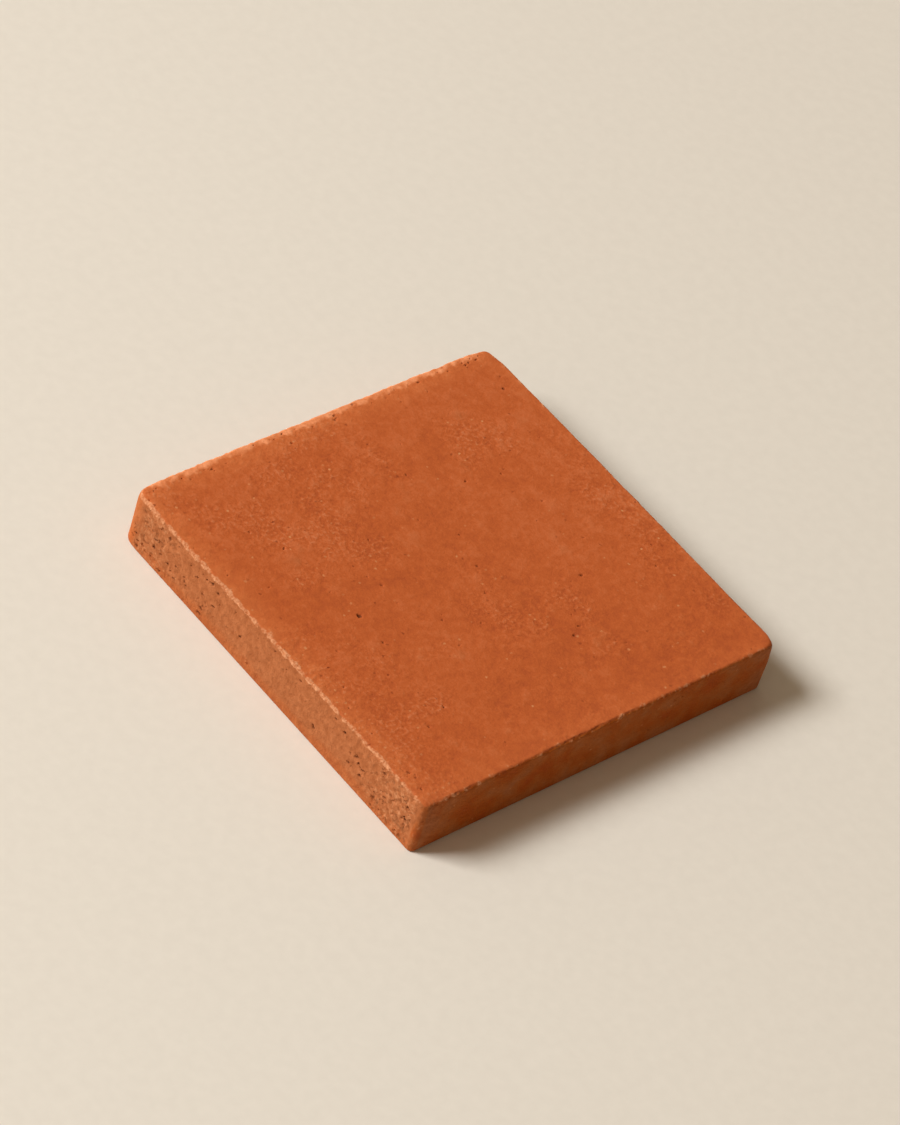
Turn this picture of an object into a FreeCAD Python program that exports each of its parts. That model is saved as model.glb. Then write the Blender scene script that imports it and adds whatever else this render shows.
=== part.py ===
"""Terracotta floor tile: one square slab of fired clay with rounded corners and eased arrises.

Units are millimetres. The tile lies flat, walking face up, on the plane Z = 0. The origin is the
middle of its underside, and X and Y run along its two pairs of edges.
"""

import FreeCAD
import Part
import Sketcher

import os

PARTS_FOLDER = "parts"

# Driving dimensions: cell name, size in millimetres and what it measures.
SIZES = (
    ("tile_length", 140.0, "edge to edge along X"),
    ("tile_width", 140.0, "edge to edge along Y"),
    ("tile_thickness", 20.0, "underside to walking face"),
    ("flat_corner_radius", 1.0, "corners of the flat face inside the larger arris, seen from above"),
    ("top_arris_radius", 1.0, "easing between the walking face and the edges"),
    ("bottom_arris_radius", 0.8, "easing between the underside and the edges"),
)

# The upright corners are round enough for the larger arris to roll over them.
UPRIGHT_CORNER_RADIUS = (
    "Sizes.flat_corner_radius + max(Sizes.top_arris_radius; Sizes.bottom_arris_radius)"
)

# How far a point may lie from a place and still count as there.
AT_PLACE = 1e-4

# A sketched line's two ends and the sketch's own origin, as constraints number them.
START, END = 1, 2
SKETCH_ORIGIN = (-1, 1)


def add_sizes(doc):
    """Make the spreadsheet of driving dimensions, with one aliased cell for each."""
    sheet = doc.addObject("Spreadsheet::Sheet", "Sizes")
    for row, (alias, size, meaning) in enumerate(SIZES, start=1):
        sheet.set(f"A{row}", alias)
        sheet.set(f"B{row}", str(size))
        sheet.set(f"C{row}", meaning)
        sheet.setAlias(f"B{row}", alias)
    doc.recompute()
    return sheet


def add_plan_outline(body, sheet):
    """Sketch the tile's plan: a rectangle centred on the origin, with both lengths bound to the sheet."""
    sketch = body.newObject("Sketcher::SketchObject", "plan_outline")
    planes = {plane.Role: plane for plane in body.Origin.OriginFeatures}
    sketch.AttachmentSupport = (planes["XY_Plane"], [""])
    sketch.MapMode = "FlatFace"

    # The corners run anticlockwise from the one at the lowest X and Y.
    half_length = sheet.tile_length / 2
    half_width = sheet.tile_width / 2
    corners = [
        FreeCAD.Vector(-half_length, -half_width, 0),
        FreeCAD.Vector(half_length, -half_width, 0),
        FreeCAD.Vector(half_length, half_width, 0),
        FreeCAD.Vector(-half_length, half_width, 0),
    ]
    lines = [
        sketch.addGeometry(Part.LineSegment(first, second), False)
        for first, second in zip(corners, corners[1:] + corners[:1])
    ]
    near, right, far, left = lines
    for line, following in zip(lines, lines[1:] + lines[:1]):
        sketch.addConstraint(Sketcher.Constraint("Coincident", line, END, following, START))
    for line in (near, far):
        sketch.addConstraint(Sketcher.Constraint("Horizontal", line))
    for line in (right, left):
        sketch.addConstraint(Sketcher.Constraint("Vertical", line))
    sketch.addConstraint(Sketcher.Constraint("Symmetric", near, START, far, START, *SKETCH_ORIGIN))

    for kind, line, cell in (("DistanceX", near, "tile_length"), ("DistanceY", right, "tile_width")):
        length = getattr(sheet, cell)
        index = sketch.addConstraint(Sketcher.Constraint(kind, line, START, line, END, length))
        sketch.renameConstraint(index, cell)
        sketch.setExpression(f"Constraints.{cell}", f"Sizes.{cell}")
    return sketch


def add_slab(body, outline):
    """Pad the plan up to the walking face."""
    slab = body.newObject("PartDesign::Pad", "clay_slab")
    slab.Profile = outline
    slab.setExpression("Length", "Sizes.tile_thickness")
    return slab


def edges_where(feature, is_wanted):
    """Name the edges of a feature whose bounding box passes a test."""
    return [
        f"Edge{number}"
        for number, edge in enumerate(feature.Shape.Edges, start=1)
        if is_wanted(edge.BoundBox)
    ]


def is_upright(box):
    """Tell whether an edge stands upright."""
    return box.XLength < AT_PLACE and box.YLength < AT_PLACE


def lies_at(height):
    """Make a test for edges that lie in the level plane at a height."""
    return lambda box: abs(box.ZMin - height) < AT_PLACE and abs(box.ZMax - height) < AT_PLACE


def add_rounding(doc, body, base, name, is_wanted, radius):
    """Round the edges of the base feature that pass a test, with a radius bound to the sheet."""
    doc.recompute()
    rounding = body.newObject("PartDesign::Fillet", name)
    rounding.Base = (base, edges_where(base, is_wanted))
    rounding.setExpression("Radius", radius)
    return rounding


def add_floor_tile(doc, sheet):
    """Build the tile: a slab with its upright corners rounded first, then its top and bottom arrises."""
    body = doc.addObject("PartDesign::Body", "floor_tile")
    body.Label = "floor_tile"
    body.Placement = FreeCAD.Placement()
    slab = add_slab(body, add_plan_outline(body, sheet))
    corners = add_rounding(doc, body, slab, "upright_corners", is_upright, UPRIGHT_CORNER_RADIUS)
    top_arris = add_rounding(
        doc, body, corners, "top_arris", lies_at(sheet.tile_thickness), "Sizes.top_arris_radius"
    )
    add_rounding(doc, body, top_arris, "bottom_arris", lies_at(0.0), "Sizes.bottom_arris_radius")
    return body


def check_document(doc, bodies):
    """Stop if any object failed to rebuild, or any sub-part is empty or invalid."""
    for item in doc.Objects:
        if {"Invalid", "Error"} & set(item.State):
            raise RuntimeError(f"{item.Name} failed to rebuild: {item.State}")
    for body in bodies:
        if body.Shape.isNull() or not body.Shape.isValid() or len(body.Shape.Solids) != 1:
            raise RuntimeError(f"{body.Label} is not one valid solid")


def main():
    """Build the document, check it and write each sub-part's solid."""
    doc = FreeCAD.newDocument("terracotta_floor_tile")
    sheet = add_sizes(doc)
    bodies = [add_floor_tile(doc, sheet)]
    doc.recompute()
    check_document(doc, bodies)

    os.makedirs(PARTS_FOLDER, exist_ok=True)
    for body in bodies:
        body.Shape.exportStep(os.path.join(PARTS_FOLDER, f"{body.Label}.step"))
        box = body.Shape.optimalBoundingBox(False)
        print(f"{body.Label}: {box.XLength:.2f} x {box.YLength:.2f} x {box.ZLength:.2f} mm")


main()
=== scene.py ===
"""Dress one unglazed terracotta floor tile: a mottled slab of fired clay with pores and worn arrises.

Lengths in the classes are millimetres unless a name says otherwise. The tile lies flat with its walking
face up, its underside on Z = 0 and its edges along X and Y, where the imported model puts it.
"""

import itertools
import logging
import math
from collections.abc import Callable, Iterator, Mapping, Sequence
from dataclasses import dataclass
from enum import Enum

import bpy
import numpy as np
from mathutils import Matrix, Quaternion, Vector
from mathutils.kdtree import KDTree


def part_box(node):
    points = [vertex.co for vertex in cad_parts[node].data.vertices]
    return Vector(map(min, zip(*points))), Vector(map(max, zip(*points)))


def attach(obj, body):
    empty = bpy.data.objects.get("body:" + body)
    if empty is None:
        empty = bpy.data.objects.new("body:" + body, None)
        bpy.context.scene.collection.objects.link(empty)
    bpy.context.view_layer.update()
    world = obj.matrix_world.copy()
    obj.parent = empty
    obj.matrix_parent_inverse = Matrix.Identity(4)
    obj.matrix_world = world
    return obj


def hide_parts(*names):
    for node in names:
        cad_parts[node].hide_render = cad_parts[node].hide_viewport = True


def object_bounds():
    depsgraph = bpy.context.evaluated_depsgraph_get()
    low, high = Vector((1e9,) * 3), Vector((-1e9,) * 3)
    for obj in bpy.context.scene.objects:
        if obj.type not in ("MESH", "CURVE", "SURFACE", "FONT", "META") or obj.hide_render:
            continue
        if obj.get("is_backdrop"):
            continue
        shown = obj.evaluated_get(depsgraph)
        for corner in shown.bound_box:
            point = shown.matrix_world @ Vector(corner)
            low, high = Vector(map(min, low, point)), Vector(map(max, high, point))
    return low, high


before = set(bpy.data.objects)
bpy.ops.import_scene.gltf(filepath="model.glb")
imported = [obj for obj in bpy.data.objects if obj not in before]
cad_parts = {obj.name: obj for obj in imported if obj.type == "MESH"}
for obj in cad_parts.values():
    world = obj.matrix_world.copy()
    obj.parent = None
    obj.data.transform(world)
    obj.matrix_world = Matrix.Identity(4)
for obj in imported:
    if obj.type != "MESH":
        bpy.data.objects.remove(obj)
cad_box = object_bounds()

log = logging.getLogger("terracotta_tile")

MM = 0.001
TILE_NODE = "floor_tile"
TILE_BODY = "root"
BAKE_MAP = "OFBake"

# How far a point may lie from a plane and still count as on it.
AT_PLANE = 0.01 * MM

# Primes: how many random values the noise holds, and its steps through them along X, Y and Z.
NOISE_COUNT = 4099
NOISE_STEPS = (7919, 104729, 15485863)

# Average height of a grain, and the span that most of its heights lie in.
GRAIN_MIDDLE = 0.5
GRAIN_SPAN = (0.3, 0.7)

# How far a fleck's outline wanders, in cells, and how much of its radius is solid.
FLECK_WANDER = 0.4
FLECK_CORE = 0.4


class Face(Enum):
    """The six faces of the slab, each as the axis that it looks along and the way it looks."""

    WALKING = (2, 1)
    BEDDING = (2, -1)
    NEAR_EDGE = (1, -1)
    RIGHT_EDGE = (0, 1)
    FAR_EDGE = (1, 1)
    LEFT_EDGE = (0, -1)

    @property
    def axis(self) -> int:
        """Number of the axis that the face looks along."""
        return self.value[0]

    @property
    def way(self) -> int:
        """Plus or minus one along that axis."""
        return self.value[1]

    @property
    def along(self) -> tuple[int, int]:
        """Numbers of the two axes that the face spreads along, the longer one first."""
        return {0: (1, 2), 1: (0, 2), 2: (0, 1)}[self.axis]


class Mask(str, Enum):
    """Numbers on the points of the tile's mesh that its finish reads."""

    PORE = "pore_depth_mm"
    WEAR = "arris_wear"
    BITE = "bite_depth_mm"
    TEAR = "torn_share"
    LOOSE = "loose_skin"
    EDGE = "edge_face"
    SAND = "edge_sand"
    FOOT = "edge_foot"
    SCUFF = "scuff_share"
    RIM = "rim_rub"
    BORDER = "border_rub"
    BED = "bedding"


@dataclass(frozen=True)
class EdgeState:
    """How one edge has fared: its moulding sand, torn skin and worn arris, and how pale it is rubbed.

    Each is a share, 1 being much. The rim is a painted highlight, a bright orange strip of the walking
    face beside the arris, and the border is a wider and fainter rubbed strip, whose width is in
    millimetres.
    """

    sand: float
    torn: float
    worn: float
    pale: float
    # Share of the painted highlight on the walking face beside the arris.
    rim: float
    border: float
    border_width: float


EDGES: dict[Face, EdgeState] = {
    Face.NEAR_EDGE: EdgeState(
        sand=1.0, torn=1.0, worn=1.0, pale=1.2, rim=0.0, border=1.0, border_width=12.0
    ),
    Face.RIGHT_EDGE: EdgeState(
        sand=0.22, torn=0.25, worn=0.45, pale=0.5, rim=0.0, border=0.45, border_width=14.0
    ),
    Face.FAR_EDGE: EdgeState(
        sand=0.75, torn=0.6, worn=0.5, pale=0.6, rim=0.0, border=0.45, border_width=8.0
    ),
    Face.LEFT_EDGE: EdgeState(
        sand=0.55, torn=0.8, worn=1.6, pale=2.2, rim=1.0, border=1.2, border_width=12.0
    ),
}


@dataclass(frozen=True)
class CornerState:
    """How the corner between two edges has fared, each length in millimetres.

    The radius is its upright's. The corner is rubbed round for some way from its tip, and rubbed bare of
    sand for some way beside its upright.
    """

    edges: tuple[Face, Face]
    radius: float
    rubbed: float
    bare: float

    def holds(self, places: np.ndarray) -> np.ndarray:
        """Tell which places lie in the corner's quarter of the tile."""
        return np.all([places[..., edge.axis] * edge.way > 0 for edge in self.edges], axis=0)

    def away(self, depths: Mapping[Face, np.ndarray]) -> np.ndarray:
        """How far points lie from where the two edges would meet, seen from above."""
        return np.hypot(*(depths[edge] for edge in self.edges))


CORNERS = (
    CornerState((Face.NEAR_EDGE, Face.LEFT_EDGE), radius=4.5, rubbed=14.0, bare=7.5),
    CornerState((Face.NEAR_EDGE, Face.RIGHT_EDGE), radius=2.0, rubbed=8.0, bare=2.6),
    CornerState((Face.FAR_EDGE, Face.RIGHT_EDGE), radius=2.0, rubbed=5.0, bare=1.5),
    CornerState((Face.FAR_EDGE, Face.LEFT_EDGE), radius=2.0, rubbed=9.0, bare=2.6),
)


def linear(hex_colour: str) -> tuple[float, float, float, float]:
    """Turn an sRGB colour into the linear one that shaders take.

    Args:
        hex_colour: Six hex digits after a hash sign.

    Returns:
        Red, green, blue and a full alpha.
    """
    parts = [int(hex_colour[at : at + 2], 16) / 255 for at in (1, 3, 5)]
    bent = [part / 12.92 if part <= 0.04045 else ((part + 0.055) / 1.055) ** 2.4 for part in parts]
    return (*bent, 1.0)


def per_metre(size_mm: float) -> float:
    """Scale of a pattern whose features are about a size in millimetres apart."""
    return 1 / (size_mm * MM)


def towards(azimuth: float, elevation: float) -> Vector:
    """Direction from the tile to a place round it.

    Args:
        azimuth: Degrees round to the right from the near side.
        elevation: Degrees up from the floor.

    Returns:
        A vector of length 1.
    """
    turn, rise = math.radians(azimuth), math.radians(elevation)
    return Vector(
        (math.sin(turn) * math.cos(rise), -math.cos(turn) * math.cos(rise), math.sin(rise))
    )


def smooth_noise(points: np.ndarray, size: float, seed: int) -> np.ndarray:
    """Give each point a random value that changes smoothly from place to place.

    Args:
        points: Places, one to a row.
        size: Distance over which the value changes, in the points' unit.
        seed: Which pattern of values to take.

    Returns:
        Values from -1 to 1, one for each point.
    """
    values = np.random.default_rng(seed).uniform(-1, 1, NOISE_COUNT)
    steps = np.array(NOISE_STEPS)
    cell = np.floor(points / size).astype(np.int64)
    part = points / size - cell
    blend = part * part * (3 - 2 * part)
    total = np.zeros(len(points))
    for corner in itertools.product((0, 1), repeat=3):
        share = np.where(np.array(corner, bool), blend, 1 - blend).prod(axis=1)
        total += share * values[((cell + corner) @ steps) % len(values)]
    return total


class Unevenness(Enum):
    """Patterns that break up the wear: feature size in millimetres, seed and strength."""

    ARRIS_DIPS = (3.6, 11, 0.4)
    ARRIS_CRUMBS = (1.2, 12, 0.6)
    PALE_RUB = (6.5, 13, 0.3)
    BARE_RIM = (3.0, 14, 0.25)
    TORN_PATCHES = (1.7, 41, 0.5)
    TORN_CRUMBS = (0.8, 42, 0.5)
    SCUFF_CLOUDS = (21.0, 51, 0.4)
    SCUFF_PATCHES = (8.0, 52, 0.4)

    def at(self, points: np.ndarray) -> np.ndarray:
        """Height of the pattern at each point, up to its strength either way."""
        size, seed, strength = self.value
        return strength * smooth_noise(points, size, seed)


def ramp(values: np.ndarray, low: float, high: float) -> np.ndarray:
    """Rise smoothly from 0 at the low value to 1 at the high one."""
    part = np.clip((values - low) / (high - low), 0, 1)
    return part * part * (3 - 2 * part)


def add_node(
    tree: bpy.types.NodeTree,
    kind: str,
    inputs: Mapping[str | int, object] | None = None,
    stops: Sequence[tuple[float, str]] = (),
    **settings: object,
) -> bpy.types.Node:
    """Add a node with its settings, and fill its inputs with values or links.

    Args:
        tree: Node tree to add to.
        kind: Blender's name of the node's class.
        inputs: Input name or number to a value, or to the output that it is linked from.
        stops: Places and sRGB colours of a colour ramp, from its start to its end.
        **settings: The node's own properties.

    Returns:
        The new node.
    """
    node = tree.nodes.new(kind)
    for name, value in settings.items():
        setattr(node, name, value)
    for name, value in (inputs or {}).items():
        if isinstance(value, bpy.types.NodeSocket):
            tree.links.new(value, node.inputs[name])
        else:
            node.inputs[name].default_value = value
    if stops:
        elements = node.color_ramp.elements
        while len(elements) < len(stops):
            elements.new(1.0)
        for element, (place, colour) in zip(elements, stops):
            element.position = place
            element.color = linear(colour)
    return node


def clear_nodes(owner: bpy.types.Material | bpy.types.World) -> bpy.types.NodeTree:
    """Give a material or a world an empty tree of nodes.

    Args:
        owner: The material or world.

    Returns:
        Its tree.
    """
    owner.use_nodes = True
    owner.node_tree.nodes.clear()
    return owner.node_tree


def finish_with(piece: bpy.types.Object, kind: str, **settings: object) -> None:
    """Give a piece a modifier and apply it.

    Args:
        piece: Object to change.
        kind: Blender's name of the modifier's type.
        **settings: The modifier's own properties.
    """
    bpy.ops.object.select_all(action="DESELECT")
    piece.select_set(True)
    bpy.context.view_layer.objects.active = piece
    modifier = piece.modifiers.new(kind.title(), kind)
    for name, value in settings.items():
        setattr(modifier, name, value)
    bpy.ops.object.modifier_apply(modifier=modifier.name)


def near_tree(places: np.ndarray) -> KDTree:
    """Sort places into a tree that finds those near a point.

    Args:
        places: Places in millimetres, one to a row.

    Returns:
        The tree, which numbers the places by their rows.
    """
    tree = KDTree(len(places))
    for number, place in enumerate(places):
        tree.insert(place, number)
    tree.balance()
    return tree


def pick_radius(draw: np.random.Generator, sizes: tuple[float, float], smallness: int) -> float:
    """Pick a radius from a range, a small one more often than a large one.

    Args:
        draw: Where the random number comes from.
        sizes: Smallest and largest radius.
        smallness: 1 for an even choice, and higher for more of the small ones.

    Returns:
        The radius.
    """
    return sizes[0] + (sizes[1] - sizes[0]) * draw.uniform() ** smallness


@dataclass(frozen=True)
class Dent:
    """One hollow in the clay: a pore, a pit or a bite out of an arris.

    Its rim wanders by a share of its radius, in lumps whose size is a share of it too, and its reach is
    a little more than the rim's.
    """

    middle: np.ndarray
    radius: float
    depth: float
    long_axis: np.ndarray
    stretch: float
    is_fresh: bool = False
    rim_wander: float = 0.42
    rim_lumps: float = 0.8
    rim_seed: int = 5
    rim_reach: float = 1.45
    wall_power: float = 1.5

    def reach(self) -> float:
        """Distance from the middle past which nothing changes."""
        return self.radius * self.stretch * self.rim_reach

    def depth_at(self, points: np.ndarray) -> np.ndarray:
        """How deep the hollow is at each point, with an uneven rim.

        Args:
            points: Places in millimetres, one to a row.

        Returns:
            Depths in millimetres.
        """
        offset = points - self.middle
        along = offset @ self.long_axis
        across = np.linalg.norm(offset - np.outer(along, self.long_axis), axis=1)
        lumps = smooth_noise(points, self.rim_lumps * self.radius, self.rim_seed)
        uneven = 1 + self.rim_wander * lumps
        share = np.hypot(along / self.stretch, across) / (self.radius * uneven)
        return self.depth * np.clip(1 - share**2, 0, 1) ** self.wall_power


@dataclass(frozen=True)
class PoreFamily:
    """Pores of one kind, scattered over some of the faces.

    On an edge their long axes lean a little either way. The end pull is how many of them crowd towards
    the face's two ends, each time within the end share of its length.
    """

    faces: tuple[Face, ...]
    count: int
    radius: tuple[float, float]
    depth_share: float
    stretch: tuple[float, float]
    margin: float
    end_margin: float
    seed: int
    end_pull: float = 0.0
    end_share: float = 0.3
    end_crowding: float = 1.6
    lean: float = 0.35
    smallness: int = 2

    def scatter(self, size: np.ndarray) -> Iterator[Dent]:
        """Place the family's pores.

        Args:
            size: Length, width and thickness of the slab.

        Yields:
            One dent for each pore.
        """
        draw = np.random.default_rng(self.seed)
        lowest = np.array((-size[0] / 2, -size[1] / 2, 0.0))
        for face in self.faces:
            first, second = face.along
            margin = np.full(3, self.margin)
            margin[first] = self.end_margin
            for _ in range(self.count):
                place = draw.uniform(0, 1, 3)
                if draw.uniform() < self.end_pull:
                    inward = self.end_share * draw.uniform() ** self.end_crowding
                    place[first] = inward if draw.uniform() < 0.5 else 1 - inward
                middle = lowest + margin + place * (size - 2 * margin)
                middle[face.axis] = lowest[face.axis] + (size[face.axis] if face.way > 0 else 0.0)
                turn = draw.normal(0, self.lean) if face in EDGES else draw.uniform(0, math.pi)
                long_axis = np.zeros(3)
                long_axis[[first, second]] = math.cos(turn), math.sin(turn)
                radius = pick_radius(draw, self.radius, self.smallness)
                stretch = draw.uniform(*self.stretch)
                yield Dent(middle, radius, self.depth_share * radius, long_axis, stretch)


@dataclass(frozen=True)
class ArrisFamily:
    """Bites or pits strung along the walking face's arrises, where the fired clay has crumbled."""

    faces: tuple[Face, ...]
    count: int
    radius: tuple[float, float]
    depth_share: float
    stretch: tuple[float, float]
    inset: tuple[float, float]
    drop: float
    seed: int
    is_fresh: bool = False
    end_gap: float = 2.5
    smallness: int = 3

    def scatter(self, size: np.ndarray) -> Iterator[Dent]:
        """Place the family along its arrises.

        Args:
            size: Length, width and thickness of the slab.

        Yields:
            One dent for each bite or pit.
        """
        draw = np.random.default_rng(self.seed)
        for face in self.faces:
            run = face.along[0]
            long_axis = np.zeros(3)
            long_axis[run] = 1.0
            for _ in range(self.count):
                middle = np.array((0.0, 0.0, size[2] - self.drop))
                middle[face.axis] = face.way * (size[face.axis] / 2 - draw.uniform(*self.inset))
                middle[run] = draw.uniform(-0.5, 0.5) * (size[run] - 2 * self.end_gap)
                radius = pick_radius(draw, self.radius, self.smallness)
                stretch = draw.uniform(*self.stretch)
                yield Dent(middle, radius, self.depth_share * radius, long_axis, stretch, self.is_fresh)


@dataclass(frozen=True)
class PitSpots:
    """The few pits of the walking face that stand out: the place and radius of each."""

    spots: tuple[tuple[float, float, float], ...]
    depth_share: float = 0.9
    stretch: float = 1.2

    def scatter(self, size: np.ndarray) -> Iterator[Dent]:
        """Place the pits on the walking face.

        Args:
            size: Length, width and thickness of the slab.

        Yields:
            One dent for each pit.
        """
        long_axis = np.array((1.0, 0.0, 0.0))
        for x, y, radius in self.spots:
            middle = np.array((x, y, size[2]))
            yield Dent(middle, radius, self.depth_share * radius, long_axis, self.stretch)


FAULTS: tuple[PoreFamily | ArrisFamily | PitSpots, ...] = (
    # Fine pores all over the walking face.
    PoreFamily(
        faces=(Face.WALKING,), count=70, radius=(0.2, 0.6), depth_share=0.8,
        stretch=(1.0, 1.8), margin=2.0, end_margin=2.0, seed=21,
    ),
    # Open pores of the edges, most of them near the corners and few on the smoothest edge.
    PoreFamily(
        faces=(Face.NEAR_EDGE,), count=140, radius=(0.22, 0.75), depth_share=0.9,
        stretch=(1.0, 1.9), margin=1.6, end_margin=4.5, seed=22, end_pull=0.78,
    ),
    PoreFamily(
        faces=(Face.FAR_EDGE, Face.LEFT_EDGE), count=70, radius=(0.22, 0.65), depth_share=0.9,
        stretch=(1.0, 1.8), margin=1.6, end_margin=4.5, seed=23, end_pull=0.6,
    ),
    PoreFamily(
        faces=(Face.RIGHT_EDGE,), count=14, radius=(0.22, 0.5), depth_share=0.8,
        stretch=(1.0, 1.8), margin=2.0, end_margin=3.0, seed=24,
    ),
    # Crumbs gone from the arrises.
    ArrisFamily(
        faces=(Face.NEAR_EDGE, Face.LEFT_EDGE), count=50, radius=(0.3, 0.9), depth_share=0.35,
        stretch=(1.0, 2.0), inset=(0.1, 0.5), drop=0.3, seed=31, is_fresh=True,
    ),
    ArrisFamily(
        faces=(Face.RIGHT_EDGE, Face.FAR_EDGE), count=26, radius=(0.2, 0.45), depth_share=0.4,
        stretch=(1.0, 2.4), inset=(0.1, 0.35), drop=0.3, seed=33, is_fresh=True,
    ),
    # Pits strung just inside the two rubbed arrises.
    ArrisFamily(
        faces=(Face.NEAR_EDGE,), count=22, radius=(0.22, 0.5), depth_share=0.9,
        stretch=(1.0, 2.0), inset=(1.1, 5.0), drop=0.0, seed=32,
    ),
    ArrisFamily(
        faces=(Face.LEFT_EDGE,), count=36, radius=(0.28, 0.55), depth_share=0.9,
        stretch=(1.0, 2.0), inset=(1.4, 5.0), drop=0.0, seed=34,
    ),
    PitSpots(
        (
            (2, -40, 0.85), (42, -40, 0.6), (46, -49, 0.5),
            (10, -55, 0.4), (-40, -49, 0.45), (-10, 9, 0.4),
        ),
    ),
)


@dataclass
class TileSlab:
    """The tile as one piece of fired clay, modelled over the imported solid's own box.

    A band is a pair of distances between which something passes from none to all, or back, and a break
    is such a pair of heights in an uneven pattern. The first number of the arrises' cut and roughness is
    what every arris has, and the second is what a worn one has on top.
    """

    low: Vector
    high: Vector
    top_arris: float = 1.0
    bottom_arris: float = 0.8
    corner_flats: int = 10
    arris_flats: int = 6
    # Sizes of the mesh: its even grid, the finer one under dents and the most that is kept.
    grid: float = 0.37
    pore_grid_cuts: int = 2
    most_triangles: int = 190_000
    # Corners rubbed round at the walking face, less and less down their uprights.
    rub_passes: int = 160
    rub_fade: float = 0.55
    rub_core: float = 0.3
    # Swellings from drying and pressing: name, feature size and height, fading out at the underside.
    swells: tuple[tuple[str, float, float], ...] = (
        ("drying_warp", 42.0, 0.5),
        ("press_marks", 9.0, 0.14),
    )
    bed_band: tuple[float, float] = (0.0, 3.0)
    # Arrises rubbed down and pale, and the painted highlight on the strip just inside them.
    corner_reach: float = 8.0
    arris_cut: tuple[float, float] = (0.38, 0.15)
    arris_roughness: tuple[float, float] = (0.12, 0.25)
    pale_band: tuple[float, float] = (0.3, 2.0)
    upright_band: tuple[float, float] = (0.0, 1.5)
    upright_wear: float = 0.55
    highlight_spread: float = 1.8
    highlight_band: tuple[float, float] = (0.4, 2.4)
    # Torn skin of the edges, most near their ends but not on the uprights.
    tear_depth: float = 0.42
    torn_wrap: float = 2.0
    torn_arris_band: tuple[float, float] = (0.2, 1.2)
    torn_upright_band: tuple[float, float] = (1.0, 4.0)
    torn_end_band: tuple[float, float] = (6.0, 45.0)
    torn_middle: float = 0.25
    torn_break: tuple[float, float] = (-0.1, 0.55)
    # Where one face turns into the next, the sand on the edges, and the warmer band along its foot that
    # is painted bounce light from the floor.
    turn_band: tuple[float, float] = (-0.6, 0.6)
    sand_wrap: float = 4.0
    bounce_foot_band: tuple[float, float] = (1.5, 8.0)
    # What is rubbed off the edge and its sand beside a bare upright, and how pale the clay shows there.
    bare_core: float = 0.5
    bare_of_edge: float = 0.5
    bare_of_sand: float = 0.6
    bare_border: float = 0.3
    # Scuffs of the walking face, more of them beside worn edges.
    scuff_band: tuple[float, float] = (0.0, 14.0)
    scuff_pull: float = 0.2
    scuff_break: tuple[float, float] = (-0.1, 0.45)
    # Flat map for baking.
    map_gap: float = 2.0
    unseen_scale: float = 0.45
    piece: bpy.types.Object | None = None

    @property
    def size(self) -> np.ndarray:
        """Length, width and thickness in millimetres."""
        return np.array(self.high - self.low) / MM

    def build(self, dents: Sequence[Dent]) -> bpy.types.Object:
        """Model the tile from a block to its worn and pitted shape.

        Args:
            dents: The pores, pits and bites to press into it.

        Returns:
            The finished object, at the origin.
        """
        self.cut_block()
        self.round_corners()
        self.refine_under(dents)
        self.warp()
        self.wear_arrises()
        self.tear_edges()
        self.press(dents)
        self.thin()
        self.mark_faces()
        self.lay_out_map()
        return self.piece

    def cut_block(self) -> None:
        """Cut a block to size, round its corners and arrises and cover it with an even grid of faces."""
        bpy.ops.object.select_all(action="DESELECT")
        bpy.ops.mesh.primitive_cube_add(size=1.0, location=(self.low + self.high) / 2)
        self.piece = bpy.context.object
        self.piece.name = "fired_tile"
        self.piece.scale = self.high - self.low
        bpy.ops.object.transform_apply(location=True, rotation=True, scale=True)
        for corner in CORNERS:
            self.round_edges(
                lambda a, b: abs(a.z - b.z) > MM and corner.holds(np.array(a)),
                corner.radius,
                self.corner_flats,
            )
        self.round_edges(
            lambda a, b: min(a.z, b.z) > self.high.z - AT_PLANE, self.top_arris, self.arris_flats
        )
        self.round_edges(
            lambda a, b: max(a.z, b.z) < self.low.z + AT_PLANE, self.bottom_arris, self.arris_flats
        )
        finish_with(self.piece, "REMESH", mode="VOXEL", voxel_size=self.grid * MM)

    def round_edges(
        self, is_wanted: Callable[[Vector, Vector], bool], radius: float, segments: int
    ) -> None:
        """Round the edges that pass a test.

        Args:
            is_wanted: Takes an edge's two ends and tells whether to round it.
            radius: Radius in millimetres.
            segments: Number of flats across the rounding.
        """
        mesh = self.piece.data
        ends = [[mesh.vertices[number].co for number in edge.vertices] for edge in mesh.edges]
        self.select_only("EDGE", np.array([bool(is_wanted(*pair)) for pair in ends]))
        bpy.ops.mesh.bevel(offset=radius * MM, segments=segments, affect="EDGES", clamp_overlap=True)
        bpy.ops.object.mode_set(mode="OBJECT")

    def select_only(self, kind: str, chosen: np.ndarray) -> None:
        """Select some of the mesh's edges or faces and nothing else, and stay in edit mode.

        Args:
            kind: EDGE or FACE, as Blender's selection modes are called.
            chosen: Whether to select each of them, in the mesh's order.
        """
        bpy.ops.object.mode_set(mode="EDIT")
        bpy.ops.mesh.select_mode(type=kind)
        bpy.ops.mesh.select_all(action="DESELECT")
        bpy.ops.object.mode_set(mode="OBJECT")
        mesh = self.piece.data
        parts = {"EDGE": mesh.edges, "FACE": mesh.polygons}[kind]
        parts.foreach_set("select", chosen)
        bpy.ops.object.mode_set(mode="EDIT")

    def places(self) -> np.ndarray:
        """Places of the mesh's points in millimetres, one to a row."""
        found = np.empty(len(self.piece.data.vertices) * 3, np.float32)
        self.piece.data.vertices.foreach_get("co", found)
        return found.reshape(-1, 3).astype(float) / MM

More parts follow.
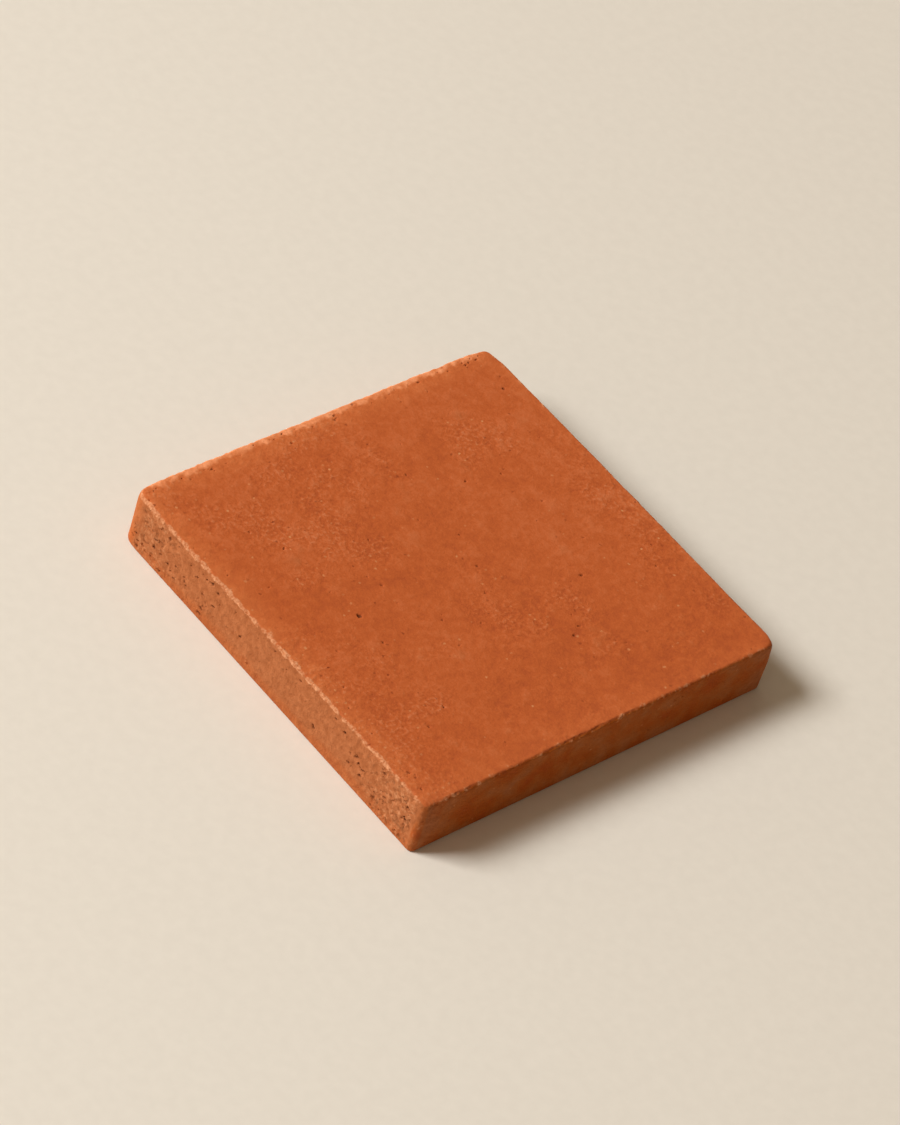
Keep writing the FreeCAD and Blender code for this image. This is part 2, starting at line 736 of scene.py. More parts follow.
    def depth_under_faces(self, points: np.ndarray) -> dict[Face, np.ndarray]:
        """How far each point lies inside each of the slab's six faces.

        Args:
            points: Places in millimetres, one to a row.

        Returns:
            Face to depths in millimetres.
        """
        low, high = np.array(self.low) / MM, np.array(self.high) / MM
        return {
            face: high[face.axis] - points[:, face.axis]
            if face.way > 0
            else points[:, face.axis] - low[face.axis]
            for face in Face
        }

    def depth_under_outline(self, points: np.ndarray) -> np.ndarray:
        """How far each point lies inside the tile's outline with its rounded corners, seen from above.

        Args:
            points: Places in millimetres, one to a row.

        Returns:
            Depths in millimetres.
        """
        radius = np.select(
            [corner.holds(points) for corner in CORNERS], [corner.radius for corner in CORNERS]
        )
        past = np.abs(points[:, :2]) - (self.size[:2] / 2 - radius[:, None])
        outside = np.linalg.norm(np.maximum(past, 0), axis=1)
        return radius - outside - np.minimum(past.max(axis=1), 0)

    def bare_uprights(self, points: np.ndarray) -> np.ndarray:
        """How bare of sand each point is rubbed for being beside an upright.

        Args:
            points: Places in millimetres, one to a row.

        Returns:
            Shares from 0 to 1.
        """
        depths = self.depth_under_faces(points)
        uneven = 1 + Unevenness.BARE_RIM.at(points)
        shares = [
            1 - ramp(corner.away(depths) * uneven, self.bare_core * corner.bare, corner.bare)
            for corner in CORNERS
        ]
        return np.max(shares, axis=0)

    def blend_edges(
        self, points: np.ndarray, pick: Callable[[EdgeState], float], reach: float
    ) -> np.ndarray:
        """Give each point a share of the edge that it is nearest to, blended at the corners.

        Args:
            points: Places in millimetres, one to a row.
            pick: Takes an edge's state and gives the share that is wanted.
            reach: How far from a corner the blend tells, in millimetres.

        Returns:
            Shares, one for each point.
        """
        depths = self.depth_under_faces(points)
        pulls = {face: np.exp(-np.maximum(depths[face], 0) / reach) for face in EDGES}
        return sum(pulls[face] * pick(state) for face, state in EDGES.items()) / sum(pulls.values())

    def round_corners(self) -> None:
        """Rub the walking face's corners round, less and less down each upright."""
        depths = self.depth_under_faces(self.places())
        down = self.rub_fade * depths[Face.WALKING]
        rubbed = np.zeros(len(down))
        for corner in CORNERS:
            from_tip = np.hypot(corner.away(depths), down)
            core = self.rub_core * corner.rubbed
            rubbed = np.maximum(rubbed, 1 - ramp(from_tip, core, corner.rubbed))
        self.paint_group("round_off", rubbed)
        finish_with(
            self.piece, "SMOOTH", factor=0.5, iterations=self.rub_passes, vertex_group="round_off"
        )

    def refine_under(self, dents: Sequence[Dent]) -> None:
        """Divide the faces under the dents, so that their shape shows.

        Args:
            dents: The pores, pits and bites to come.
        """
        faces = self.piece.data.polygons
        middles = np.empty(len(faces) * 3, np.float32)
        faces.foreach_get("center", middles)
        middles = middles.reshape(-1, 3) / MM
        tree = near_tree(middles)
        chosen = np.zeros(len(middles), bool)
        for dent in dents:
            for _, number, _ in tree.find_range(dent.middle, dent.reach() + self.grid):
                chosen[number] = True
        self.select_only("FACE", chosen)
        bpy.ops.mesh.subdivide(number_cuts=self.pore_grid_cuts)
        bpy.ops.object.mode_set(mode="OBJECT")

    def paint_group(self, name: str, weights: np.ndarray) -> None:
        """Paint a vertex group with weights, in even steps.

        Args:
            name: The group's name.
            weights: A weight from 0 to 1 for each point.
        """
        steps = 100
        group = self.piece.vertex_groups.new(name=name)
        level = np.rint(np.clip(weights, 0, 1) * steps).astype(int)
        for step in range(1, steps + 1):
            found = np.flatnonzero(level == step)
            if len(found):
                group.add(found.tolist(), step / steps, "REPLACE")

    def sink(self, name: str, shares: np.ndarray, deepest: float) -> None:
        """Sink the surface by a share of a depth at each point.

        Args:
            name: Name of the vertex group that carries the shares.
            shares: A share from 0 to 1 for each point.
            deepest: The whole depth in millimetres.
        """
        self.paint_group(name, shares)
        finish_with(
            self.piece, "DISPLACE", strength=-deepest * MM, mid_level=0.0, vertex_group=name
        )

    def write_mask(self, mask: Mask, values: np.ndarray) -> None:
        """Write one number for each point of the mesh, for the finish to read."""
        attribute = self.piece.data.attributes.new(mask.value, "FLOAT", "POINT")
        attribute.data.foreach_set("value", values.astype(np.float32))

    def warp(self) -> None:
        """Make the faces gently uneven, as clay dries, but keep the underside on its plane."""
        self.paint_group("above_bed", ramp(self.places()[:, 2], *self.bed_band))
        for name, size, height in self.swells:
            texture = bpy.data.textures.new(name, "CLOUDS")
            texture.noise_scale = size * MM
            texture.noise_depth = 1
            finish_with(
                self.piece,
                "DISPLACE",
                texture=texture,
                texture_coords="LOCAL",
                strength=height * MM,
                mid_level=0.5,
                vertex_group="above_bed",
            )

    def wear_arrises(self) -> None:
        """Rub the walking face's arrises down by an uneven amount, mark where they are pale, and mark
        the painted highlight inside them.
        """
        points = self.places()
        depths = self.depth_under_faces(points)
        top = np.maximum(depths[Face.WALKING], 0)
        outline = np.maximum(self.depth_under_outline(points), 0)
        share = self.blend_edges(points, lambda state: state.worn, self.corner_reach)
        uneven = Unevenness.ARRIS_DIPS.at(points) + Unevenness.ARRIS_CRUMBS.at(points)
        rough = self.arris_roughness[0] + self.arris_roughness[1] * share
        rubbed_to = self.arris_cut[0] + self.arris_cut[1] * share + rough * uneven
        cut = np.maximum(rubbed_to - (top + outline) / math.sqrt(2), 0)
        deepest = cut.max()
        self.sink("rub_down", cut / deepest, deepest)
        pale = self.blend_edges(points, lambda state: state.pale, self.corner_reach)
        rubbed = pale * (1 - ramp(np.hypot(top, outline), *self.pale_band))
        for corner in CORNERS:
            rounded_off = (math.sqrt(2) - 1) * corner.radius
            upright = 1 - ramp(corner.away(depths) - rounded_off, *self.upright_band)
            rubbed = np.maximum(rubbed, self.upright_wear * upright)
        self.write_mask(Mask.WEAR, rubbed * (1 + Unevenness.PALE_RUB.at(points)))
        # Painted highlight: a bright strip of the walking face just inside the arris, on the left edge
        # that faces the softbox.
        rim = self.blend_edges(points, lambda state: state.rim, self.corner_reach)
        from_arris = np.hypot(top, outline / self.highlight_spread)
        self.write_mask(Mask.RIM, rim * (1 - ramp(from_arris, *self.highlight_band)))

    def tear_edges(self) -> None:
        """Tear the edges' skin where the clay left its mould, most near the corners."""
        points = self.places()
        depths = self.depth_under_faces(points)
        inside = np.minimum(depths[Face.WALKING], depths[Face.BEDDING])
        edge = ramp(inside - self.depth_under_outline(points), *self.torn_arris_band)
        from_end = (self.size[:2] / 2 - np.abs(points[:, :2])).max(axis=1)
        near, far = self.torn_end_band
        ends = self.torn_middle + (1 - self.torn_middle) * ramp(-from_end, -far, -near)
        ends = ends * ramp(from_end, *self.torn_upright_band)
        uneven = Unevenness.TORN_PATCHES.at(points) + Unevenness.TORN_CRUMBS.at(points)
        loose = edge * ends * self.blend_edges(points, lambda state: state.torn, self.torn_wrap)
        loose *= 1 - self.bare_uprights(points)
        torn = loose * ramp(uneven, *self.torn_break)
        self.sink("torn_skin", torn, self.tear_depth)
        self.write_mask(Mask.TEAR, torn)
        self.write_mask(Mask.LOOSE, loose)

    def press(self, dents: Sequence[Dent]) -> None:
        """Press the dents into the clay, and mark how deep the old and the fresh ones are.

        Args:
            dents: The pores, pits and bites.
        """
        points = self.places()
        tree = near_tree(points)
        depth = np.zeros(len(points))
        old = np.zeros(len(points))
        for dent in dents:
            found = [number for _, number, _ in tree.find_range(dent.middle, dent.reach())]
            if found:
                hollow = dent.depth_at(points[found])
                depth[found] = np.maximum(depth[found], hollow)
                if not dent.is_fresh:
                    old[found] = np.maximum(old[found], hollow)
        deepest = depth.max()
        self.sink("dents", depth / deepest, deepest)
        # The old pores' depth, which the finish paints as shade.
        self.write_mask(Mask.PORE, old)
        self.write_mask(Mask.BITE, np.where(depth > old, depth, 0))

    def thin(self) -> None:
        """Collapse the faces that show no shape, down to the most triangles that the piece may have."""
        mesh = self.piece.data
        triangles = sum(len(face.vertices) - 2 for face in mesh.polygons)
        finish_with(
            self.piece,
            "DECIMATE",
            ratio=self.most_triangles / triangles,
            use_collapse_triangulate=True,
        )
        log.info("%s: %d triangles thinned to %d", self.piece.name, triangles, len(mesh.polygons))
        bpy.ops.object.shade_smooth()
        self.piece.vertex_groups.clear()

    def mark_faces(self) -> None:
        """Mark the edges, their sand and the painted bounce light at their feet, the scuffs and pale
        borders, and the underside.
        """
        points = self.places()
        faces = self.depth_under_faces(points)
        outline = self.depth_under_outline(points)
        low_half = faces[Face.BEDDING] < faces[Face.WALKING]
        bed = low_half * (1 - ramp(faces[Face.BEDDING] - outline, *self.turn_band))
        bare = self.bare_uprights(points)
        upright = ramp(faces[Face.WALKING] - outline, *self.turn_band)
        edge = upright * (1 - self.bare_of_edge * bare)
        sand = upright * (1 - self.bare_of_sand * bare) * (1 - bed)
        sand *= self.blend_edges(points, lambda state: state.sand, self.sand_wrap)
        worn = self.blend_edges(points, lambda state: state.worn, self.torn_wrap)
        rubbed = worn * (1 - ramp(outline, *self.scuff_band))
        border = self.blend_edges(points, lambda state: state.border, self.corner_reach)
        width = self.blend_edges(points, lambda state: state.border_width, self.corner_reach)
        border = np.maximum(border * np.clip(1 - outline / width, 0, 1), self.bare_border * bare)
        patches = Unevenness.SCUFF_CLOUDS.at(points) + Unevenness.SCUFF_PATCHES.at(points)
        scuffed = ramp(patches + self.scuff_pull * rubbed, *self.scuff_break)
        self.write_mask(Mask.EDGE, edge * (1 - bed))
        self.write_mask(Mask.SAND, sand)
        # Painted bounce light: the sand is warmer towards each edge's foot, as if lit by the floor.
        self.write_mask(Mask.FOOT, sand * (1 - ramp(points[:, 2], *self.bounce_foot_band)))
        self.write_mask(Mask.SCUFF, scuffed * (1 - upright) * (1 - bed))
        self.write_mask(Mask.BORDER, border * (1 - edge) * (1 - bed))
        self.write_mask(Mask.BED, bed)

    def lay_out_map(self) -> None:
        """Lay the six faces out flat on one square map, the unseen underside at about half its size."""
        mesh = self.piece.data
        length, width, thickness = self.size
        gap = self.map_gap
        strip = thickness + gap
        side = length + 2 * gap + len(EDGES) * strip
        corners = {Face.WALKING: (gap, gap), Face.BEDDING: (gap, width + 2 * gap)}
        for number, face in enumerate(EDGES):
            corners[face] = (length + 2 * gap + number * strip, gap)
        points = self.places()
        loops = np.empty(len(mesh.loops), np.int32)
        mesh.loops.foreach_get("vertex_index", loops)
        middles = points[loops].reshape(-1, 3, 3).mean(axis=1)
        depths = self.depth_under_faces(middles)
        nearest = np.argmin(np.array([depths[face] for face in Face]), axis=0)
        chart = np.repeat(nearest, 3)
        low = np.array(self.low) / MM
        spots = np.empty((len(loops), 2))
        for number, face in enumerate(Face):
            found = chart == number
            first, second = face.along
            if face in EDGES:
                first, second = second, first
            flat = points[loops[found]][:, (first, second)] - low[[first, second]]
            scale = self.unseen_scale if face is Face.BEDDING else 1.0
            spots[found] = (np.array(corners[face]) + flat * scale) / side
        layer = mesh.uv_layers.new(name=BAKE_MAP)
        layer.uv.foreach_set("vector", spots.astype(np.float32).ravel())

    def dress(self, clay: bpy.types.Material) -> None:
        """Give the tile its finish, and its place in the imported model.

        Args:
            clay: The finish.
        """
        tile = self.piece
        tile.data.materials.append(clay)
        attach(tile, TILE_BODY)
        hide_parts(TILE_NODE)


class Grain(Enum):
    """Uneven patterns in the clay: feature size, how far they stretch along the edges, and octaves."""

    FIRING = (38.0, 1.0, 2.0)
    BLOTCH = (8.0, 1.0, 3.0)
    MOTTLE = (2.4, 1.0, 3.0)
    CRUMB = (1.1, 1.0, 2.0)
    GRIT = (0.7, 1.0, 1.0)
    DRAG = (1.2, 2.5, 2.0)

    def make(self, tree: bpy.types.NodeTree, place: bpy.types.NodeSocket) -> bpy.types.NodeSocket:
        """Add the pattern to a material.

        Args:
            tree: The material's nodes.
            place: Where the surface is, in metres.

        Returns:
            The pattern's height, about 0.5 on average.
        """
        size, stretch, octaves = self.value
        spread = add_node(
            tree, "ShaderNodeMapping", {"Vector": place, "Scale": (1 / stretch, 1 / stretch, 1.0)}
        )
        noise = add_node(
            tree,
            "ShaderNodeTexNoise",
            {"Vector": spread.outputs["Vector"], "Scale": per_metre(size), "Detail": octaves},
        )
        return noise.outputs["Fac"]


@dataclass(frozen=True)
class ClayNodes:
    """What the layers of the clay's finish share.

    It holds the material's tree of nodes, where the surface is in metres, each grain's pattern and each
    mask's number from the mesh.
    """

    tree: bpy.types.NodeTree
    place: bpy.types.NodeSocket
    grains: Mapping[Grain, bpy.types.NodeSocket]
    masks: Mapping[Mask, bpy.types.NodeSocket]


class Fleck(Enum):
    """Specks in the clay: spacing, radius, share of cells with one, more of them in scuffs, colour."""

    GROG = (2.6, 0.5, 0.3, 0.16, "#d28d5b")
    IRON = (3.6, 0.5, 0.42, 0.12, "#8a3d1c")

    def make(self, nodes: ClayNodes) -> bpy.types.NodeSocket:
        """Add the specks, their outlines made ragged by the grit.

        Args:
            nodes: What the finish's layers share.

        Returns:
            1 on a speck and 0 between them.
        """
        spacing, radius, share, more, _ = self.value
        cells = add_node(
            nodes.tree, "ShaderNodeTexVoronoi", {"Vector": nodes.place, "Scale": per_metre(spacing)}
        )
        drawn = add_node(
            nodes.tree,
            "ShaderNodeMath",
            {0: nodes.masks[Mask.SCUFF], 1: more, 2: cells.outputs["Color"]},
            operation="MULTIPLY_ADD",
        )
        held = add_node(
            nodes.tree,
            "ShaderNodeMapRange",
            {"Value": drawn.outputs["Value"], "From Min": 1 - share, "From Max": 1.0},
        )
        away = add_node(
            nodes.tree,
            "ShaderNodeMath",
            {0: nodes.grains[Grain.GRIT], 1: FLECK_WANDER, 2: cells.outputs["Distance"]},
            operation="MULTIPLY_ADD",
        )
        shift = FLECK_WANDER * GRAIN_MIDDLE
        speck = add_node(
            nodes.tree,
            "ShaderNodeMapRange",
            {
                "Value": away.outputs["Value"],
                "From Min": shift + radius / spacing,
                "From Max": shift + FLECK_CORE * radius / spacing,
                "To Max": held.outputs["Result"],
            },
        )
        return speck.outputs["Result"]


@dataclass(frozen=True)
class Cover:
    """A film or stain on the clay, where its mask, broken up by a grain, passes from low to high.

    The gain is how far the grain breaks it up, and most is its share where it is thickest. Its two
    colours follow the tint.
    """

    mask: Mask
    grain: Grain
    gain: float
    low: float
    high: float
    most: float
    tint: Grain
    colours: tuple[str, str]

    def lay(self, nodes: ClayNodes, colour: bpy.types.NodeSocket) -> bpy.types.NodeSocket:
        """Lay the cover over a colour.

        Args:
            nodes: What the finish's layers share.
            colour: The colour below.

        Returns:
            The colour with the cover on it.
        """
        broken = add_node(
            nodes.tree,
            "ShaderNodeMath",
            {0: nodes.grains[self.grain], 1: self.gain, 2: nodes.masks[self.mask]},
            operation="MULTIPLY_ADD",
        )
        share = add_node(
            nodes.tree,
            "ShaderNodeMapRange",
            {
                "Value": broken.outputs["Value"],
                "From Min": self.low,
                "From Max": self.high,
                "To Max": self.most,
            },
            interpolation_type="SMOOTHSTEP",
        )
        tint = add_node(
            nodes.tree,
            "ShaderNodeValToRGB",
            {"Fac": nodes.grains[self.tint]},
            tuple(zip(GRAIN_SPAN, self.colours)),
        )
        return add_node(
            nodes.tree,
            "ShaderNodeMix",
            {0: share.outputs["Result"], 6: colour, 7: tint.outputs["Color"]},
            data_type="RGBA",
        ).outputs[2]


@dataclass(frozen=True)
class Strength:
    """How strong a grain is on the walking face and on the edges, and how much more so in the scuffs."""

    grain: Grain
    face: float
    edge: float
    scuff: float

    def add_to(
        self, nodes: ClayNodes, total: bpy.types.NodeSocket | float
    ) -> bpy.types.NodeSocket:
        """Add the grain to a running total, as far as it rises or falls from its average.

        Args:
            nodes: What the finish's layers share.
            total: The total so far.

        Returns:
            The new total.
        """
        plain = add_node(
            nodes.tree,
            "ShaderNodeMapRange",
            {"Value": nodes.masks[Mask.EDGE], "To Min": self.face, "To Max": self.edge},
        )
        amount = add_node(
            nodes.tree,
            "ShaderNodeMath",
            {0: nodes.masks[Mask.SCUFF], 1: self.scuff, 2: plain.outputs["Result"]},
            operation="MULTIPLY_ADD",
        )
        swing = add_node(
            nodes.tree,
            "ShaderNodeMath",
            {0: nodes.grains[self.grain], 1: GRAIN_MIDDLE},
            operation="SUBTRACT",
        )
        return add_node(
            nodes.tree,
            "ShaderNodeMath",
            {0: swing.outputs["Value"], 1: amount.outputs["Value"], 2: total},
            operation="MULTIPLY_ADD",
        ).outputs["Value"]


@dataclass(frozen=True)
class FiredClay:
    """Unglazed terracotta, pressed in a sanded mould and fired.

    The walking face is matt burnt orange, softly clouded by the fire and peppered with pale grog and
    dark iron, and painted a shade paler towards the softbox. The edges wear a dragged film of ochre
    moulding sand, painted redder at the foot as warm bounce light from the floor. The arrises are rubbed
    pale, one of them with a painted bright orange highlight inside it, and the pores are painted darker
    with depth as painted shade.
    """

    name: str = "unglazed terracotta, pressed and fired"
    skin: tuple[tuple[float, str], ...] = ((0.25, "#b0552a"), (0.5, "#bd5f2e"), (0.75, "#c76b3c"))
    clouds: tuple[Strength, ...] = (
        Strength(Grain.FIRING, face=0.35, edge=0.35, scuff=0.0),
        Strength(Grain.BLOTCH, face=0.5, edge=0.5, scuff=0.0),
        Strength(Grain.MOTTLE, face=0.6, edge=0.7, scuff=0.3),
        Strength(Grain.CRUMB, face=0.05, edge=0.3, scuff=0.75),
        Strength(Grain.GRIT, face=0.35, edge=0.4, scuff=0.0),
    )
    films: tuple[Cover, ...] = (
        Cover(
            Mask.EDGE, Grain.BLOTCH, gain=0.4, low=0.5, high=0.9, most=0.85,
            tint=Grain.BLOTCH, colours=("#ac4d0e", "#b46516"),
        ),
        Cover(
            Mask.SAND, Grain.BLOTCH, gain=1.0, low=0.6, high=1.05, most=1.0,
            tint=Grain.MOTTLE, colours=("#a45d33", "#bb7246"),
        ),
        # Painted bounce light: the sand is redder towards the foot, as if lit by warm light from the
        # floor.
        Cover(
            Mask.FOOT, Grain.BLOTCH, gain=1.2, low=0.9, high=1.6, most=0.6,
            tint=Grain.MOTTLE, colours=("#aa562a", "#be6a36"),
        ),
        Cover(
            Mask.BORDER, Grain.BLOTCH, gain=0.3, low=0.15, high=1.15, most=0.55,
            tint=Grain.MOTTLE, colours=("#cc6e3a", "#d87e46"),
        ),
        Cover(
            Mask.BED, Grain.MOTTLE, gain=0.8, low=0.7, high=1.5, most=0.8,
            tint=Grain.GRIT, colours=("#a9673c", "#c28657"),
        ),
    )
    marks: tuple[Cover, ...] = (
        Cover(
            Mask.SCUFF, Grain.CRUMB, gain=2.0, low=2.0, high=2.5, most=0.4,
            tint=Grain.MOTTLE, colours=("#c57448", "#d79168"),
        ),
        Cover(
            Mask.LOOSE, Grain.CRUMB, gain=2.0, low=1.8, high=2.4, most=0.45,
            tint=Grain.MOTTLE, colours=("#c68252", "#dca075"),
        ),
        Cover(
            Mask.WEAR, Grain.MOTTLE, gain=2.4, low=1.75, high=2.25, most=0.95,
            tint=Grain.GRIT, colours=("#bb6e42", "#e2a478"),
        ),
        # Painted highlight: bright orange inside the left arris, where the light catches it.
        Cover(
            Mask.RIM, Grain.MOTTLE, gain=0.8, low=0.6, high=1.2, most=0.9,
            tint=Grain.MOTTLE, colours=("#d87c46", "#f6a674"),
        ),
        Cover(
            Mask.BITE, Grain.MOTTLE, gain=0.1, low=0.06, high=0.25, most=0.45,
            tint=Grain.GRIT, colours=("#bd6b3c", "#d08b5d"),
        ),
        Cover(
            Mask.TEAR, Grain.GRIT, gain=0.6, low=0.75, high=1.3, most=0.6,
            tint=Grain.MOTTLE, colours=("#744021", "#8f532d"),
        ),
        # Painted shade: the old pores are painted darker the deeper they are.
        Cover(
            Mask.PORE, Grain.MOTTLE, gain=0.0, low=0.1, high=0.55, most=0.85,
            tint=Grain.GRIT, colours=("#54260f", "#6b3418"),
        ),
    )
    relief: tuple[Strength, ...] = (
        Strength(Grain.BLOTCH, face=0.35, edge=0.5, scuff=0.0),
        Strength(Grain.MOTTLE, face=0.18, edge=0.5, scuff=0.15),
        Strength(Grain.CRUMB, face=0.05, edge=0.15, scuff=0.18),
        Strength(Grain.GRIT, face=0.1, edge=0.2, scuff=0.0),
        Strength(Grain.DRAG, face=0.0, edge=0.22, scuff=0.0),
    )
    roughness: tuple[float, float] = (0.76, 0.92)
    diffuse_roughness: float = 0.5
    specular: float = 0.12
    # Painted light: the skin's tone leans paler towards the softbox on the left, over this reach in
    # metres either way from the middle.
    painted_light_reach_m: float = 0.07
    painted_light_lean: float = 0.08

    def make(self) -> bpy.types.Material:
        """Make the material.

        Returns:
            The new material.
        """
        material = bpy.data.materials.new(self.name)
        tree = clear_nodes(material)
        place = add_node(tree, "ShaderNodeTexCoord").outputs["Object"]
        grains = {grain: grain.make(tree, place) for grain in Grain}
        masks = {
            mask: add_node(tree, "ShaderNodeAttribute", attribute_name=mask.value).outputs["Fac"]
            for mask in Mask
        }
        nodes = ClayNodes(tree, place, grains, masks)
        roughness = add_node(
            tree,
            "ShaderNodeMapRange",
            {
                "Value": grains[Grain.MOTTLE],
                "From Min": GRAIN_SPAN[0],
                "From Max": GRAIN_SPAN[1],
                "To Min": self.roughness[0],
                "To Max": self.roughness[1],
            },
        )
        shader = add_node(
            tree,
            "ShaderNodeBsdfPrincipled",
            {
                "Base Color": self.colour(nodes),
                "Roughness": roughness.outputs["Result"],
                "Diffuse Roughness": self.diffuse_roughness,
                "Specular IOR Level": self.specular,
                "Normal": self.normal(nodes),
            },
        )
        add_node(tree, "ShaderNodeOutputMaterial", {"Surface": shader.outputs["BSDF"]})
        return material

    def colour(self, nodes: ClayNodes) -> bpy.types.NodeSocket:
        """Paint the fired skin, then the films on it, its specks and the marks of use.

        Args:
            nodes: What the finish's layers share.

        Returns:
            The surface's colour.
        """
        # Painted light: the skin is a shade paler on the left, towards the softbox, than on the right.
        across = add_node(nodes.tree, "ShaderNodeSeparateXYZ", {"Vector": nodes.place})
        tone = add_node(
            nodes.tree,
            "ShaderNodeMapRange",
            {
                "Value": across.outputs["X"],
                "From Min": -self.painted_light_reach_m,
                "From Max": self.painted_light_reach_m,
                "To Min": GRAIN_MIDDLE + self.painted_light_lean,
                "To Max": GRAIN_MIDDLE - self.painted_light_lean,
            },
        ).outputs["Result"]
        for cloud in self.clouds:
            tone = cloud.add_to(nodes, tone)
        colour = add_node(nodes.tree, "ShaderNodeValToRGB", {"Fac": tone}, self.skin).outputs["Color"]
        for film in self.films:
            colour = film.lay(nodes, colour)
        for fleck in Fleck:
            speck = fleck.make(nodes)
            colour = add_node(
                nodes.tree,
                "ShaderNodeMix",
                {0: speck, 6: colour, 7: linear(fleck.value[-1])},
                data_type="RGBA",
            ).outputs[2]
        for mark in self.marks:
            colour = mark.lay(nodes, colour)
        return colour

    def normal(self, nodes: ClayNodes) -> bpy.types.NodeSocket:
        """Roughen the surface with grit all over and drag marks along the edges.

        Args:
            nodes: What the finish's layers share.

        Returns:
            The roughened normal.
        """
        height = 0.0
        for layer in self.relief:
            height = layer.add_to(nodes, height)
        bump = add_node(nodes.tree, "ShaderNodeBump", {"Height": height, "Distance": MM})
        return bump.outputs["Normal"]


@dataclass(frozen=True)
class Studio:
    """A pale paper floor that runs out into a backdrop of its colour, and soft light from the left."""

    floor_colours: tuple[str, str] = ("#e5dfd3", "#e8e2d6")
    backdrop: str = "#e9e0cf"
    fade_from_m: float = 0.28
    fade_to_m: float = 0.9
    floor_radius_m: float = 9.0
    floor_sides: int = 64
    fibre_mm: float = 4.0
    paper_roughness: float = 0.95
    paper_specular: float = 0.1
    ambient_colour: str = "#ffe3c2"
    ambient_dim: float = 0.06
    ambient_bright: float = 0.5
    key_watts: float = 167.0
    key_size_m: float = 1.5
    key_distance_m: float = 4.0
    key_azimuth: float = -38.0
    key_elevation: float = 42.0

    def build(self) -> None:
        """Lay the floor, light the room and hang the softbox."""
        self.lay_floor()
        self.light_room()
        self.hang_softbox()

    def seen_directly(self, tree: bpy.types.NodeTree) -> bpy.types.NodeSocket:
        """Tell rays that show the backdrop, straight, in a mirror or through glass, from lighting ones.

        Args:
            tree: Nodes of the floor or the world.

        Returns:
            1 for a ray that shows the backdrop and 0 for one that carries light.
        """
        rays = add_node(tree, "ShaderNodeLightPath").outputs
        seen = rays["Is Camera Ray"]
        for kind in ("Is Glossy Ray", "Is Transmission Ray"):
            either = add_node(tree, "ShaderNodeMath", {0: seen, 1: rays[kind]}, operation="MAXIMUM")
            seen = either.outputs["Value"]
        return seen

    def lay_floor(self) -> None:
        """Lay a wide disc of paper whose far part fades into the backdrop."""
        bpy.ops.object.select_all(action="DESELECT")
        bpy.ops.mesh.primitive_circle_add(
            vertices=self.floor_sides, radius=self.floor_radius_m, fill_type="NGON"
        )
        floor = bpy.context.object
        floor.name = "paper_floor"
        floor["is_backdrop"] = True
        # Uncoated paper has no sheen, and its fibres cloud it too faintly to be seen one by one.
        material = bpy.data.materials.new("matt cream paper")
        tree = clear_nodes(material)
        place = add_node(tree, "ShaderNodeTexCoord").outputs["Object"]
        fibre = add_node(
            tree,
            "ShaderNodeTexNoise",
            {"Vector": place, "Scale": per_metre(self.fibre_mm), "Detail": 2.0},
        )
        tint = add_node(
            tree,
            "ShaderNodeValToRGB",
            {"Fac": fibre.outputs["Fac"]},
            tuple(zip(GRAIN_SPAN, self.floor_colours)),
        )
        paper = add_node(
            tree,
            "ShaderNodeBsdfPrincipled",
            {
                "Base Color": tint.outputs["Color"],
                "Roughness": self.paper_roughness,
                "Specular IOR Level": self.paper_specular,
            },
        )
        away = add_node(tree, "ShaderNodeVectorMath", {0: place}, operation="LENGTH")
        fade = add_node(
            tree,
            "ShaderNodeMapRange",
            {
                "Value": away.outputs["Value"],
                "From Min": self.fade_from_m,
                "From Max": self.fade_to_m,
                "To Max": self.seen_directly(tree),
            },
            interpolation_type="SMOOTHSTEP",
        )
        glow = add_node(tree, "ShaderNodeEmission", {"Color": linear(self.backdrop)})
        blend = add_node(
            tree,
            "ShaderNodeMixShader",
            {0: fade.outputs["Result"], 1: paper.outputs["BSDF"], 2: glow.outputs["Emission"]},
        )
        add_node(tree, "ShaderNodeOutputMaterial", {"Surface": blend.outputs["Shader"]})
        floor.data.materials.append(material)

    def light_room(self) -> None:
        """Fill the room with warm dim light, brighter on the softbox's side, before a plain backdrop."""
        world = bpy.data.worlds.new("studio")
        bpy.context.scene.world = world
        tree = clear_nodes(world)
        way = add_node(tree, "ShaderNodeTexCoord").outputs["Generated"]
        side = add_node(
            tree,
            "ShaderNodeVectorMath",
            {0: way, 1: towards(self.key_azimuth, 0.0)},
            operation="DOT_PRODUCT",
        )
        strength = add_node(
            tree,
            "ShaderNodeMapRange",
            {
                "Value": side.outputs["Value"],
                "From Min": -1.0,
                "From Max": 1.0,
                "To Min": self.ambient_dim,
                "To Max": self.ambient_bright,
            },
        )
        fill = add_node(
            tree,
            "ShaderNodeBackground",
            {"Color": linear(self.ambient_colour), "Strength": strength.outputs["Result"]},
        )
        shown = add_node(tree, "ShaderNodeBackground", {"Color": linear(self.backdrop)})
        blend = add_node(
            tree,
            "ShaderNodeMixShader",
            {
                0: self.seen_directly(tree),
                1: fill.outputs["Background"],
                2: shown.outputs["Background"],
            },
        )
        add_node(tree, "ShaderNodeOutputWorld", {"Surface": blend.outputs["Shader"]})

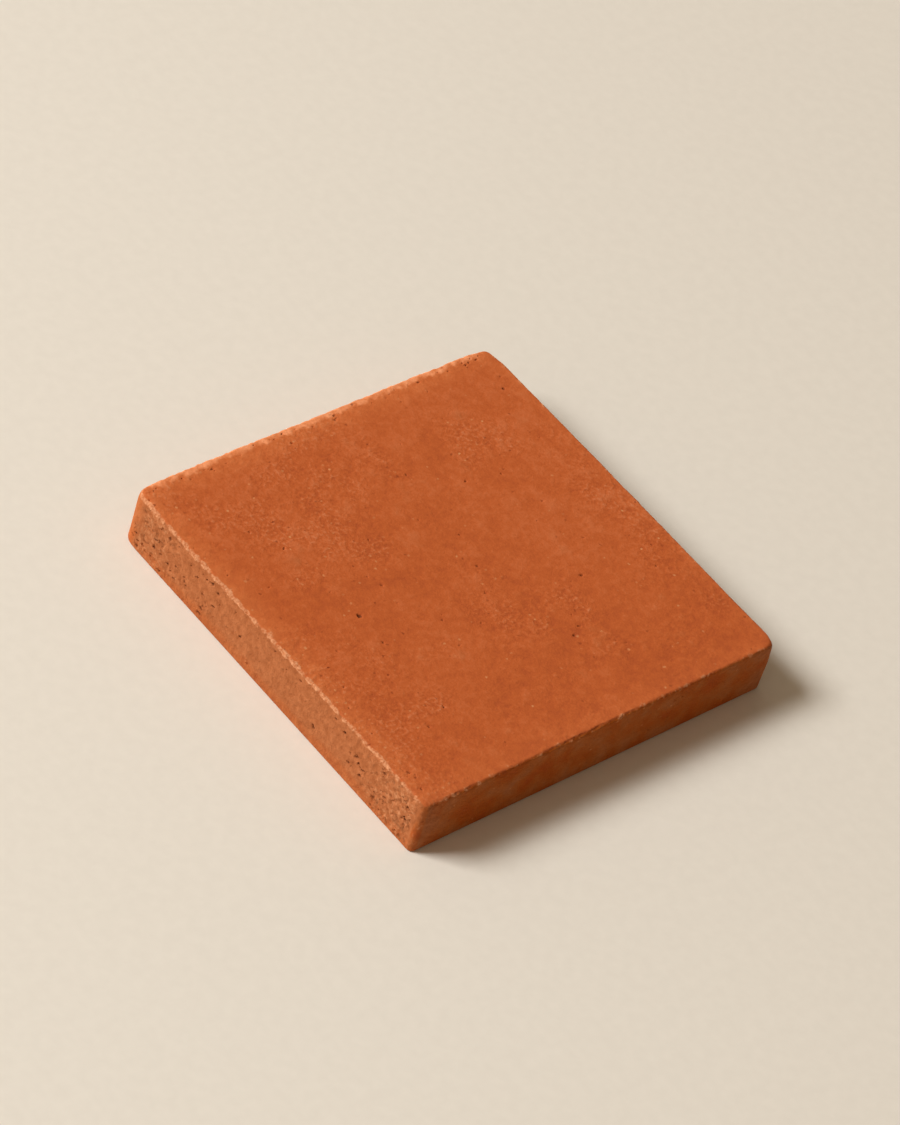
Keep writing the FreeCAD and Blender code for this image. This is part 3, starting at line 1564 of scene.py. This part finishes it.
    def hang_softbox(self) -> None:
        """Hang the softbox up on the left and point it at the tile."""
        lamp = bpy.data.lights.new("softbox", "AREA")
        lamp.energy = self.key_watts
        lamp.size = self.key_size_m
        holder = bpy.data.objects.new("softbox", lamp)
        bpy.context.collection.objects.link(holder)
        back = towards(self.key_azimuth, self.key_elevation)
        holder.location = back * self.key_distance_m
        holder.rotation_mode = "QUATERNION"
        holder.rotation_quaternion = (-back).to_track_quat("-Z", "Y")


@dataclass(frozen=True)
class PhotoCamera:
    """A camera that sees the tile from the side, height and tilt from which the photograph does."""

    azimuth: float = 37.2
    elevation: float = 43.9
    roll: float = 18.9
    distance_m: float = 1.54
    lens_mm: float = 165.0
    sensor_mm: float = 36.0
    aim_above_mm: float = 8.0

    def build(self, middle: Vector) -> bpy.types.Object:
        """Set the camera up.

        Args:
            middle: The tile's middle.

        Returns:
            The camera's object.
        """
        data = bpy.data.cameras.new("photo_camera")
        data.lens = self.lens_mm
        data.sensor_width = self.sensor_mm
        camera = bpy.data.objects.new("photo_camera", data)
        bpy.context.collection.objects.link(camera)
        back = towards(self.azimuth, self.elevation)
        level = (-back).to_track_quat("-Z", "Y")
        turned = level @ Quaternion((0, 0, 1), math.radians(self.roll))
        aim = middle + turned @ Vector((0, self.aim_above_mm * MM, 0))
        camera.location = aim + back * self.distance_m
        camera.rotation_mode = "QUATERNION"
        camera.rotation_quaternion = turned
        bpy.context.scene.camera = camera
        return camera


def main() -> None:
    """Build the tile, dress it and set the studio and the camera."""
    logging.basicConfig(level=logging.INFO, format="%(name)s: %(message)s")
    bpy.context.scene.view_settings.view_transform = "Standard"

    low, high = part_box(TILE_NODE)
    slab = TileSlab(low, high)
    dents = [dent for family in FAULTS for dent in family.scatter(slab.size)]
    tile = slab.build(dents)
    slab.dress(FiredClay().make())
    log.info("%s: %d pores, pits and bites", tile.name, len(dents))

    Studio().build()
    log.info("studio: paper floor, room light and softbox")
    camera = PhotoCamera().build((low + high) / 2)
    log.info("%s: %.2f m from the tile", camera.name, camera.location.length)

    visual_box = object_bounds()
    boxes = {"cad": cad_box, "visual": visual_box}
    {name: [list(corner) for corner in box] for name, box in boxes.items()}


if __name__ == "__main__":
    main()
